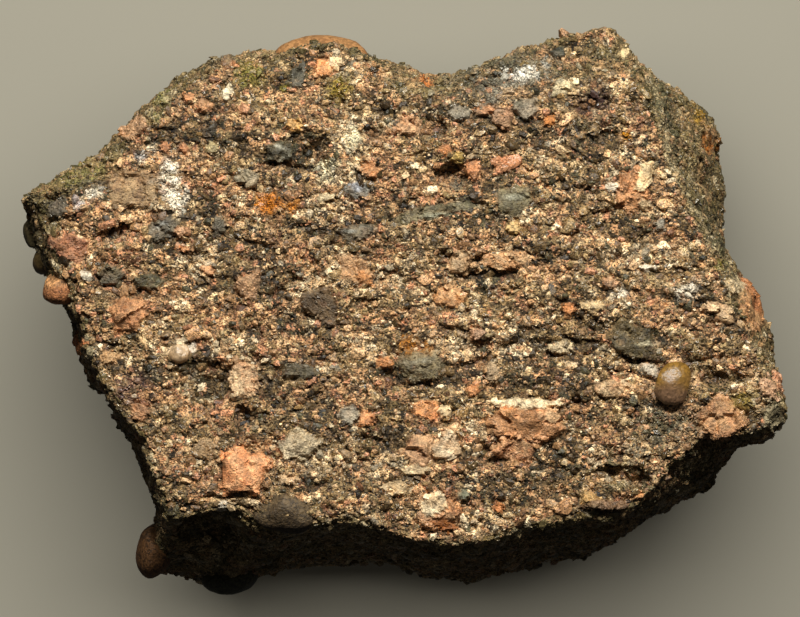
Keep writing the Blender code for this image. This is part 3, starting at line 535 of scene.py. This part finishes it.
finer = bmesh.new()
finer.from_mesh(body_mesh)
front_edges = {
    edge
    for face in finer.faces
    if face.normal.z > FRONT_FACING and face.calc_center_median().z > FRONT_ABOVE * MM
    for edge in face.edges
}
bmesh.ops.subdivide_edges(finer, edges=list(front_edges), cuts=1, use_grid_fill=True)
bmesh.ops.triangulate(finer, faces=[face for face in finer.faces if len(face.edges) > 3])
finer.to_mesh(body_mesh)
finer.free()

body_points = rows_of(body_mesh.vertices, "co").astype(float) / MM
body_normals = rows_of(body_mesh.vertex_normals, "vector").astype(float)
body_depth = torn_skin(body_points, body_normals)
_, cell_number, _ = packed_cells(body_points, GRAIN_CELL, GRAIN_CELL_SEED)
_, body_colours = grain_kinds(body_points, cell_number)
# Painted shade darkens the colours where the skin lies deep in its hollows.
body_tones = toned(body_colours * painted_hollow_shade(body_depth), body_points, body_normals)
body_points = body_points - body_normals * body_depth[:, None]
body_mesh.vertices.foreach_set("co", (body_points * MM).ravel())
body_mesh.update()


def add_tones(mesh, tones):
    """Stores each point's linear colour and how strongly specks show, for the materials to read."""
    tone = mesh.attributes.new("tone", "FLOAT_COLOR", "POINT")
    tone.data.foreach_set("color", tones.ravel())


def add_node(tree, kind, inputs, **settings):
    """Adds a node: settings are its properties, and inputs gives each input a value or a feeding socket."""
    made = tree.nodes.new(kind)
    for name, value in settings.items():
        setattr(made, name, value)
    for name, value in inputs.items():
        if isinstance(value, bpy.types.NodeSocket):
            tree.links.new(value, made.inputs[name])
        else:
            made.inputs[name].default_value = value
    return made


def ranged(tree, value, lowest, highest, span=(0.0, 1.0)):
    """A value brought from its span to between the lowest and the highest, in proportion."""
    inputs = {"Value": value, "From Min": span[0], "From Max": span[1], "To Min": lowest, "To Max": highest}
    return add_node(tree, "ShaderNodeMapRange", inputs).outputs["Result"]


# Clouds and fine streaks inside a crystal: their size (mm), the span of the noise that counts, and the
# darkest and lightest share of the tone. Then the size of the bumps, in specks.
CLOUD, CLOUD_SPAN, CLOUD_SHARES = 0.7, (0.38, 0.62), (0.35, 1.75)
RELIEF_SIZE = 1.25


def mineral_material(name, speck, darkest, lightest, roughness, bump, ior=1.53, clast_roughness=None):
    """A broken mineral: the grain's own tone, mottled by specks of the given size in mm, between a darkest
    and a lightest share of the tone, or by clouds and streaks on a clast, which may have its own gloss. The
    bump is in mm."""
    material = bpy.data.materials.new(name)
    material.use_nodes = True
    tree = material.node_tree
    shader = tree.nodes["Principled BSDF"]
    place = add_node(tree, "ShaderNodeTexCoord", {}).outputs["Object"]
    tone = add_node(tree, "ShaderNodeAttribute", {}, attribute_name="tone")
    specks = add_node(tree, "ShaderNodeTexVoronoi", {"Vector": place, "Scale": 1 / (speck * MM)})
    one_speck = add_node(tree, "ShaderNodeSeparateColor", {"Color": specks.outputs["Color"]})
    share = ranged(tree, one_speck.outputs["Red"], darkest, lightest)
    clouds = add_node(
        tree, "ShaderNodeTexNoise",
        {"Vector": place, "Scale": 1 / (CLOUD * MM), "Detail": 5.0, "Roughness": 0.8, "Distortion": 1.2},
    )
    cloud_share = ranged(tree, clouds.outputs["Fac"], *CLOUD_SHARES, CLOUD_SPAN)
    both = add_node(
        tree, "ShaderNodeMix", {"Factor": tone.outputs["Alpha"], "A": cloud_share, "B": share},
        data_type="FLOAT",
    )
    mottled = add_node(
        tree, "ShaderNodeMix", {"Factor": 1.0, "A": tone.outputs["Color"], "B": both.outputs["Result"]},
        data_type="RGBA", blend_type="MULTIPLY",
    )
    relief = add_node(
        tree, "ShaderNodeTexNoise",
        {"Vector": place, "Scale": 1 / (RELIEF_SIZE * speck * MM), "Detail": 2.0, "Roughness": 0.6},
    )
    uneven = add_node(
        tree, "ShaderNodeBump", {"Height": relief.outputs["Fac"], "Distance": bump * MM, "Strength": 1.0}
    )
    tree.links.new(mottled.outputs["Result"], shader.inputs["Base Color"])
    tree.links.new(uneven.outputs["Normal"], shader.inputs["Normal"])
    shader.inputs["Roughness"].default_value = roughness
    shader.inputs["IOR"].default_value = ior
    if clast_roughness is not None:
        gloss = ranged(tree, tone.outputs["Alpha"], clast_roughness, roughness)
        tree.links.new(gloss, shader.inputs["Roughness"])
    return material


# Fine sand and rust-stained clay, torn: matte, speckled at every grain, and dark between them, partly by
# painted shade in the hollows. The specks stand for silt of 0.05 mm, drawn 0.17 mm wide so that they show.
# The crystals in it are glossier.
clay_set_sand = mineral_material("clay_set_sand", 0.17, 0.05, 2.0, 0.85, 0.25, clast_roughness=0.36)
add_tones(body_mesh, body_tones)
body_mesh.materials.append(clay_set_sand)
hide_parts("arkose")
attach(body, "root")

# The few pebbles that are smooth: worn round by a river before the sand buried them, so they keep whole
# outlines. Each is set in the sand, and those along the stone's edge stand out of it.

# On the broad face: right, down, half length, half width (pixels), turn, height over the sand (mm), the
# colours of the lower and the upper part, and whether it shines.
FACE_PEBBLES = (
    (673, 383, 20, 17, 62, 0.9, "#7A5E46", "#86642A", True),
    (180, 354, 10, 9, 0, 0.3, "#A88A66", "#C0A684", True),
    (287, 516, 31, 17, -8, -0.25, "#40321E", "#5C4C34", False),
)  # fmt: skip
# Along the outline: middle and half sizes (mm), the two colours, and whether it shines.
EDGE_PEBBLES = (
    ((-10.8, 32.3, 35.1), (6.2, 3.0, 3.3), "#8E5A38", "#A87C50", True),
    ((-47.9, 10.0, 31.0), (1.2, 1.7, 1.9), "#4E4630", "#5E5438", True),
    ((-46.6, 6.5, 30.0), (1.5, 2.1, 2.3), "#6A5636", "#7C683E", True),
    ((-43.7, 2.9, 38.6), (2.4, 2.2, 2.6), "#AE744A", "#D09A66", False),
    ((-32.2, -31.0, 25.0), (2.3, 3.5, 3.9), "#74502E", "#644628", False),
    ((-22.6, -34.5, 21.0), (3.8, 2.4, 4.4), "#40402E", "#4E4C36", False),
)  # fmt: skip
# A pebble of the face leans towards the camera, is at least this deep in the sand (mm), and a little larger
# than what shows.
UPWARD_LEAN, BURIED_RIM = 0.6, 1.08
LEAST_HALF_DEPTH, HALF_DEPTH_SHARE = 0.9, 0.6
# How grains are chipped: how many low waves, their pitch, and how far out the planes of the chips lie.
WAVE_COUNT, WAVE_PITCH = 4, 1.6
CHIP_PLACES = (0.62, 0.9)
# How pebbles are worn: one chip, nearly round, with shallow dents: size, height (mm) and seed.
PEBBLE_CHIPS, PEBBLE_SQUARENESS, PEBBLE_UNEVENNESS = 1, 2.1, 0.25
PEBBLE_FINENESS, PEBBLE_SEED = 4, 101
PEBBLE_DENTS = ((1.6, 0.18, 104), (0.5, 0.054, 105))
PEBBLE_BLOTS = ((1.2, 0.8, 106),)


def ball(subdivisions):
    """An icosphere of radius 1: its points, and its triangles as rows of three point numbers."""
    made = bmesh.new()
    bmesh.ops.create_icosphere(made, subdivisions=subdivisions, radius=1.0)
    points = np.array([tuple(point.co) for point in made.verts])
    triangles = np.array([[point.index for point in face.verts] for face in made.faces])
    made.free()
    return points, triangles


def broken_shape(points, generator, cuts, squareness, unevenness):
    """A chipped grain from a ball: each point p is drawn out by (|x|^q + |y|^q + |z|^q)^(-1/q), swollen by
    low waves, then pressed onto each random plane n.p = d that it lies beyond."""
    drawn = points * ((np.abs(points) ** squareness).sum(axis=1) ** (-1 / squareness))[:, None]
    waves = generator.normal(size=(WAVE_COUNT, 3))
    phases = generator.uniform(0, 2 * math.pi, WAVE_COUNT)
    drawn = drawn * (1 + unevenness * np.sin(points @ waves.T * WAVE_PITCH + phases).mean(axis=1))[:, None]
    for _ in range(cuts):
        facing = generator.normal(size=3)
        facing = facing / np.linalg.norm(facing)
        beyond = np.clip(drawn @ facing - generator.uniform(*CHIP_PLACES), 0, None)
        drawn = drawn - beyond[:, None] * facing
    return drawn


def repeated(triangles, count, corner_count):
    """The triangles of several copies of a shape, each counting on from the last one's points."""
    steps = np.arange(count)[:, None, None] * corner_count
    return (triangles[None] + steps).reshape(-1, 3)


def new_piece(name, points, triangles, tones, material, flat):
    """A mesh from whole arrays: points in mm, rows of three point numbers, and a tone for each point."""
    mesh = bpy.data.meshes.new(name)
    mesh.vertices.add(len(points))
    mesh.vertices.foreach_set("co", (points * MM).astype(np.float32).ravel())
    mesh.loops.add(triangles.size)
    mesh.loops.foreach_set("vertex_index", triangles.astype(np.int32).ravel())
    mesh.polygons.add(len(triangles))
    mesh.polygons.foreach_set("loop_start", np.arange(0, triangles.size, 3, dtype=np.int32))
    mesh.update(calc_edges=True)
    if flat:
        mesh.shade_flat()
    add_tones(mesh, tones)
    mesh.materials.append(material)
    piece = new_object(name, mesh)
    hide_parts("arkose")
    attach(piece, "root")


def seen_at(right, down):
    """The point of the solid's skin that a pixel of the photograph shows, and the way it faces there."""
    eye = np.array([*PICTURE_MIDDLE, CAMERA_HEIGHT])
    aim = np.array([
        PICTURE_MIDDLE[0] + (right - PICTURE_WIDTH / 2) * PIXEL,
        PICTURE_MIDDLE[1] - (down - PICTURE_HEIGHT / 2) * PIXEL,
        FACE_PLANE,
    ])
    place, normal, _, _ = skin_tree.ray_cast(Vector(eye) * MM, Vector(aim - eye).normalized())
    return np.array(place) / MM, np.array(normal)


def face_bed(right, down, half_length, half_width, turn, rise):
    """Where a pebble of the broad face lies: its middle, its three axes as rows and its half sizes. It lies
    in the skin, turned as given, with its top at the given height over the sand."""
    middle, normal = seen_at(right, down)
    normal = normal + (0, 0, UPWARD_LEAN)
    normal = normal / np.linalg.norm(normal)
    turn = math.radians(turn)
    along = np.array([math.cos(turn), math.sin(turn), 0.0])
    along = along - normal * (along @ normal)
    along = along / np.linalg.norm(along)
    half_depth = max(LEAST_HALF_DEPTH, HALF_DEPTH_SHARE * min(half_length, half_width) * PIXEL)
    half_sizes = np.array([half_length * PIXEL, half_width * PIXEL, half_depth]) * BURIED_RIM
    axes = np.stack([along, np.cross(normal, along), normal])
    return middle + normal * (rise - SKIN_DEPTH - half_depth), axes, half_sizes


face_beds = [(*face_bed(*pebble[:6]), *pebble[6:]) for pebble in FACE_PEBBLES]
edge_beds = [(np.array(pebble[0]), np.eye(3), np.array(pebble[1]), *pebble[2:]) for pebble in EDGE_PEBBLES]
pebble_chance = np.random.default_rng(PEBBLE_SEED)
ball_points, ball_triangles = ball(PEBBLE_FINENESS)
worn_pebbles = {True: [], False: []}
for middle, axes, half_sizes, lower_colour, upper_colour, shines in face_beds + edge_beds:
    shape = broken_shape(ball_points, pebble_chance, PEBBLE_CHIPS, PEBBLE_SQUARENESS, PEBBLE_UNEVENNESS)
    placed = middle + (shape * half_sizes) @ axes
    placed = placed + (ball_points @ axes) * summed_swells(placed, PEBBLE_DENTS)[:, None]
    blend = np.clip(0.5 + (ball_points @ axes)[:, 1] + summed_swells(placed, PEBBLE_BLOTS), 0, 1)[:, None]
    colours = linear(lower_colour) + blend * (linear(upper_colour) - linear(lower_colour))
    worn_pebbles[shines].append((placed, np.concatenate([colours, np.ones_like(blend)], axis=1)))

# Worn quartz: smooth and shiny, faintly mottled.
worn_quartz = mineral_material("worn_quartz", 0.3, 0.6, 1.3, 0.37, 0.08)
# Worn lava: smooth and dull, mottled at every crystal.
worn_lava = mineral_material("worn_lava", 0.25, 0.35, 1.6, 0.65, 0.2)
for name, shines, material in (("shiny_pebbles", True, worn_quartz), ("dull_pebbles", False, worn_lava)):
    pebble_triangles = repeated(ball_triangles, len(worn_pebbles[shines]), len(ball_points))
    pebble_points, pebble_tones = (np.concatenate(arrays) for arrays in zip(*worn_pebbles[shines]))
    new_piece(name, pebble_points, pebble_triangles, pebble_tones, material, False)

# Sand and grit: grains of 0.25 to 2.8 mm that stand in the torn skin all over the stone, packed side by
# side and lying mostly along the bedding. They are chipped, not worn, as in all arkose. The finest are
# drawn on the broad face alone: elsewhere the skin's own specks stand for them.
SAND_GRADES = (
    # name, on the broad face, on the rest, spacing (mm), share of places kept, smallest and largest half
    # length, how deep they sit (0.5 is half in), fineness of the ball they are chipped from (0 for a
    # splinter), and the share left on a clast
    ("grit", True, True, 2.2, 0.36, 0.5, 1.0, 0.8, 2, 0.0),
    ("coarse_sand", True, True, 1.15, 0.7, 0.34, 0.7, 0.66, 1, 0.1),
    ("side_sand", False, True, 0.85, 0.7, 0.22, 0.42, 0.68, 0, 0.3),
    ("face_sand", True, False, 0.41, 0.8, 0.12, 0.26, 0.45, 0, 0.4),
)  # fmt: skip
SAND_SEED = 200
# How many shapes a grade has, how often each is chipped, how cubic it is, and how far its waves swell it.
GRAIN_SHAPES = 40
GRAIN_CHIPS, GRAIN_SQUARENESS, GRAIN_UNEVENNESS = 6, 3.2, 0.35
# How far out a splinter's corners are, and how far aside.
SPLINTER_REACH, SPLINTER_SHIFT = (0.75, 1.25), 0.4
# More small grains than large ones, and none a cube: half sizes against the half length, from and to.
SMALL_BIAS = 1.8
LEAST_SIZES, MOST_SIZES = (1.0, 0.7, 0.5), (1.4, 1.0, 0.85)
# Grains lie along the bedding, give or take, and nearly flat in the skin.
BEDDING_WAY = (1.0, 0.12, 0.0)
TURN_SCATTER, TILT_SCATTER = 0.7, 0.35
# Clasts that stand out more than this (mm) keep this share of their crumbs, drawn in cubes this large (mm).
CLEAN_RISE, CLEAN_CRUMBS = 0.45, 0.3
CRUMB_CUBE, CRUMB_SEED = 0.02, 81
# How far from the middle of a clast or pebble the other grains stand, in its half sizes.
CLAST_CLEAR, PEBBLE_CLEAR, EDGE_PEBBLE_CLEAR = 0.9, 0.85, 0.9
# The lowest that a grain stands over the rest spot (mm).
REST_CLEARANCE = 1.2
# Points tried in each square of the spacing, and the axes of the slanted lattice that thins them.
TRIALS = 4
LATTICE_AXES = ((3.0, 1.0, 2.0), (-1.0, 2.0, 4.0), (1.0, -3.0, 1.0))


def splinter_shapes(generator, count):
    """Sharp little grains: an octahedron's six corners, each moved in or out and aside at random."""
    corners = np.array([[1, 0, 0], [-1, 0, 0], [0, 1, 0], [0, -1, 0], [0, 0, 1], [0, 0, -1]], float)
    upper = [[0, 2, 4], [2, 1, 4], [1, 3, 4], [3, 0, 4]]
    lower = [[second, first, 5] for first, second, _ in upper]
    triangles = np.array(upper + lower)
    moved = corners * generator.uniform(*SPLINTER_REACH, (count, 6, 1))
    return moved + generator.uniform(-SPLINTER_SHIFT, SPLINTER_SHIFT, (count, 6, 3)), triangles


def chipped_shapes(generator, count, fineness):
    """Blocky grains: a ball pressed flat on several random planes."""
    points, triangles = ball(fineness)
    chips = (GRAIN_CHIPS, GRAIN_SQUARENESS, GRAIN_UNEVENNESS)
    return np.array([broken_shape(points, generator, *chips) for _ in range(count)]), triangles


def grain_sites(spacing, share, wanted, generator):
    """Places spread evenly over the wanted triangles of the torn skin: random points, thinned to one in
    each cube of a slanted lattice. Gives their points, normals and depths."""
    corners = body_points[wanted]
    crossed = np.cross(corners[:, 1] - corners[:, 0], corners[:, 2] - corners[:, 0])
    areas = np.linalg.norm(crossed, axis=1) / 2
    count = int(TRIALS * areas.sum() / spacing**2)
    chosen = np.searchsorted(np.cumsum(areas) / areas.sum(), generator.random(count))
    chosen = np.clip(chosen, 0, len(areas) - 1)
    first, second = generator.random((2, count))
    folded = first + second > 1
    first, second = np.where(folded, 1 - first, first), np.where(folded, 1 - second, second)
    weights = np.stack([1 - first - second, first, second], axis=1)[:, :, None]
    points = (corners[chosen] * weights).sum(axis=1)
    normals = (body_normals[wanted[chosen]] * weights).sum(axis=1)
    normals = normals / np.linalg.norm(normals, axis=1, keepdims=True)
    depth = (body_depth[wanted[chosen]] * weights[:, :, 0]).sum(axis=1)
    slant = np.linalg.qr(np.array(LATTICE_AXES))[0]
    _, kept = np.unique(np.floor(points @ slant / spacing), axis=0, return_index=True)
    kept = kept[generator.random(len(kept)) < share]
    return points[kept], normals[kept], depth[kept]


def standing_clear(points, normals, crumbs):
    """Which points may carry a grain: none on a pebble or right above the rest spot, and on a clast only
    the given share, as crumbs that stick to it."""
    spot = spots(points, normals)
    clear = points[:, 2] > REST_CLEARANCE
    crumb = chance(np.floor(points / CRUMB_CUBE), CRUMB_SEED)
    for *place, rise, _, _ in CLASTS:
        share = crumbs * (CLEAN_CRUMBS if rise > CLEAN_RISE else 1)
        clear &= (crumb < share) | (reach(spot, *place) > CLAST_CLEAR)
    for *place, _, _, _, _ in FACE_PEBBLES:
        clear &= reach(spot, *place) > PEBBLE_CLEAR
    for middle, half_sizes, *_ in EDGE_PEBBLES:
        clear &= np.linalg.norm((points - middle) / half_sizes, axis=1) > EDGE_PEBBLE_CLEAR
    return clear


def laid_in_skin(points, normals, sizes, sunk, shapes, generator):
    """Grains turned mostly along the bedding, each with its own tilt: shape times half sizes times axes,
    moved out of the skin by the part of the half height that isn't sunk."""
    tilted = normals + generator.normal(scale=TILT_SCATTER, size=points.shape)
    tilted = tilted / np.linalg.norm(tilted, axis=1, keepdims=True)
    along = BEDDING_WAY + generator.normal(scale=TURN_SCATTER, size=points.shape)
    along = along - tilted * (along * tilted).sum(axis=1, keepdims=True)
    along = along / np.linalg.norm(along, axis=1, keepdims=True)
    axes = np.stack([along, np.cross(tilted, along), tilted], axis=1)
    shape = shapes[generator.integers(len(shapes), size=len(points))] * sizes[:, None, :]
    grains = np.einsum("gpk,gkx->gpx", shape, axes)
    return grains + (points + normals * (sizes[:, 2:] * (1 - 2 * sunk)))[:, None, :]


# The finest sand is drawn where the skin faces up by this much and lies higher than this (mm).
FINE_SAND_FACING, FINE_SAND_ABOVE = 0.3, 30.0
body_mesh.calc_loop_triangles()
body_triangles = rows_of(body_mesh.loop_triangles, "vertices", np.int32)
middles = body_points[body_triangles].mean(axis=1)
facings = body_normals[body_triangles].mean(axis=1)[:, 2]
on_face = (facings > FINE_SAND_FACING) & (middles[:, 2] > FINE_SAND_ABOVE)

# Potassium feldspar, broken along flat cleavage: satin, finely specked.
feldspar = mineral_material("cleaved_feldspar", 0.16, 0.2, 1.75, 0.4, 0.12)
# Quartz, broken like glass: glossy, with a shallow wavy surface.
quartz = mineral_material("glassy_quartz", 0.17, 0.25, 1.65, 0.2, 0.1, ior=1.55)
# Bits of older fine-grained rock and dark mica: dark, finely mottled, with a faint gloss.
rock = mineral_material("dark_rock", 0.16, 0.2, 1.8, 0.4, 0.12)
grain_materials = {"feldspar": feldspar, "quartz": quartz, "cream": feldspar, "rock": rock}

for grade, (name, on_front, on_rest, spacing, share, *shaping) in enumerate(SAND_GRADES):
    smallest, largest, sunk, fineness, crumbs = shaping
    generator = np.random.default_rng(SAND_SEED + grade)
    wanted = body_triangles[(on_face & on_front) | (~on_face & on_rest)]
    points, normals, depth = grain_sites(spacing, share, wanted, generator)
    clear = standing_clear(points, normals, crumbs)
    points, normals, depth = points[clear], normals[clear], depth[clear]
    count = len(points)
    kinds, colours = grain_kinds(points, generator.random(count))
    # Grains in the hollows take the same painted shade.
    tones = toned(colours * painted_hollow_shade(depth), points, normals)
    if fineness:
        shapes, triangles = chipped_shapes(generator, GRAIN_SHAPES, fineness)
    else:
        shapes, triangles = splinter_shapes(generator, GRAIN_SHAPES)
    half = smallest + (largest - smallest) * generator.random(count) ** SMALL_BIAS
    sizes = half[:, None] * generator.uniform(LEAST_SIZES, MOST_SIZES, (count, 3))
    grains = laid_in_skin(points, normals, sizes, sunk, shapes, generator)
    corner_count = shapes.shape[1]
    for kind, mineral in enumerate(MINERAL_SHARES):
        mine = kinds == kind
        new_piece(
            f"{mineral}_{name}", grains[mine].reshape(-1, 3), repeated(triangles, mine.sum(), corner_count),
            np.repeat(tones[mine], corner_count, axis=0), grain_materials[mineral], True,
        )

# The floor: a plain pale sheet, a little warm, that the stone rests on.
FLOOR_HALF = 400.0
FLOOR_COLOUR = "#C7C2B0"
FLOOR_ROUGHNESS = 0.9
floor_mesh = bpy.data.meshes.new("floor")
floor_mesh.from_pydata(
    [(x * FLOOR_HALF * MM, y * FLOOR_HALF * MM, 0.0) for x, y in ((-1, -1), (1, -1), (1, 1), (-1, 1))],
    [], [(0, 1, 2, 3)],
)
floor = new_object("floor", floor_mesh)
sheet = bpy.data.materials.new("pale_card")
sheet.use_nodes = True
card = sheet.node_tree.nodes["Principled BSDF"]
card.inputs["Base Color"].default_value = (*linear(FLOOR_COLOUR), 1.0)
card.inputs["Roughness"].default_value = FLOOR_ROUGHNESS
floor_mesh.materials.append(sheet)
# As the scanner's lid, far behind the stone, it sends next to no light or reflection onto the underside.
floor.visible_diffuse = False
floor.visible_glossy = False
floor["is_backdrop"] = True

# The light: one long soft lamp beyond the upper edge of the picture, as the scanner's tube was, and a
# weak fill from all around. The floor has a wide lamp of its own, so that the stone throws no hard shadow
# on it.
FILL = 0.03
FILL_COLOUR = (1.0, 0.97, 0.92)
# Name, watts, length, width and distance (mm), height over the face and turn aside (degrees), colour, and
# whether the lamp lights everything but the floor (EXCLUDE) or the floor alone (INCLUDE).
LAMPS = (
    ("tube", 3.0, 320.0, 40.0, 420.0, 48.0, 6.0, (1.0, 0.96, 0.88), "EXCLUDE"),
    ("floor_lamp", 2.35, 560.0, 460.0, 450.0, 62.0, 0.0, (1.0, 0.98, 0.93), "INCLUDE"),
)


def add_lamp(name, watts, length, width, distance, height, aside, colour, floor_state):
    """A rectangular lamp aimed at the stone's face from the side of its upper edge."""
    tube = bpy.data.lights.new(name, "AREA")
    tube.shape = "RECTANGLE"
    tube.size = length * MM
    tube.size_y = width * MM
    tube.energy = watts
    tube.color = colour
    lamp = new_object(name, tube)
    height, aside = math.radians(height), math.radians(aside)
    level = math.cos(height)
    towards = Vector((level * math.sin(aside), level * math.cos(aside), math.sin(height)))
    lamp.location = (Vector((0, 0, FACE_PLANE)) + towards * distance) * MM
    lamp.rotation_euler = towards.to_track_quat("Z", "Y").to_euler()
    group = bpy.data.collections.new(name + "_lights")
    group.objects.link(floor)
    group.collection_objects[0].light_linking.link_state = floor_state
    lamp.light_linking.receiver_collection = group


for lamp in LAMPS:
    add_lamp(*lamp)

room = bpy.data.worlds.new("room")
room.use_nodes = True
fill = room.node_tree.nodes["Background"]
fill.inputs["Color"].default_value = (*FILL_COLOUR, 1.0)
fill.inputs["Strength"].default_value = FILL
bpy.context.scene.world = room
bpy.context.scene.view_settings.view_transform = "Standard"

sizes = {"cad_box": cad_box, "visual_box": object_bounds()}
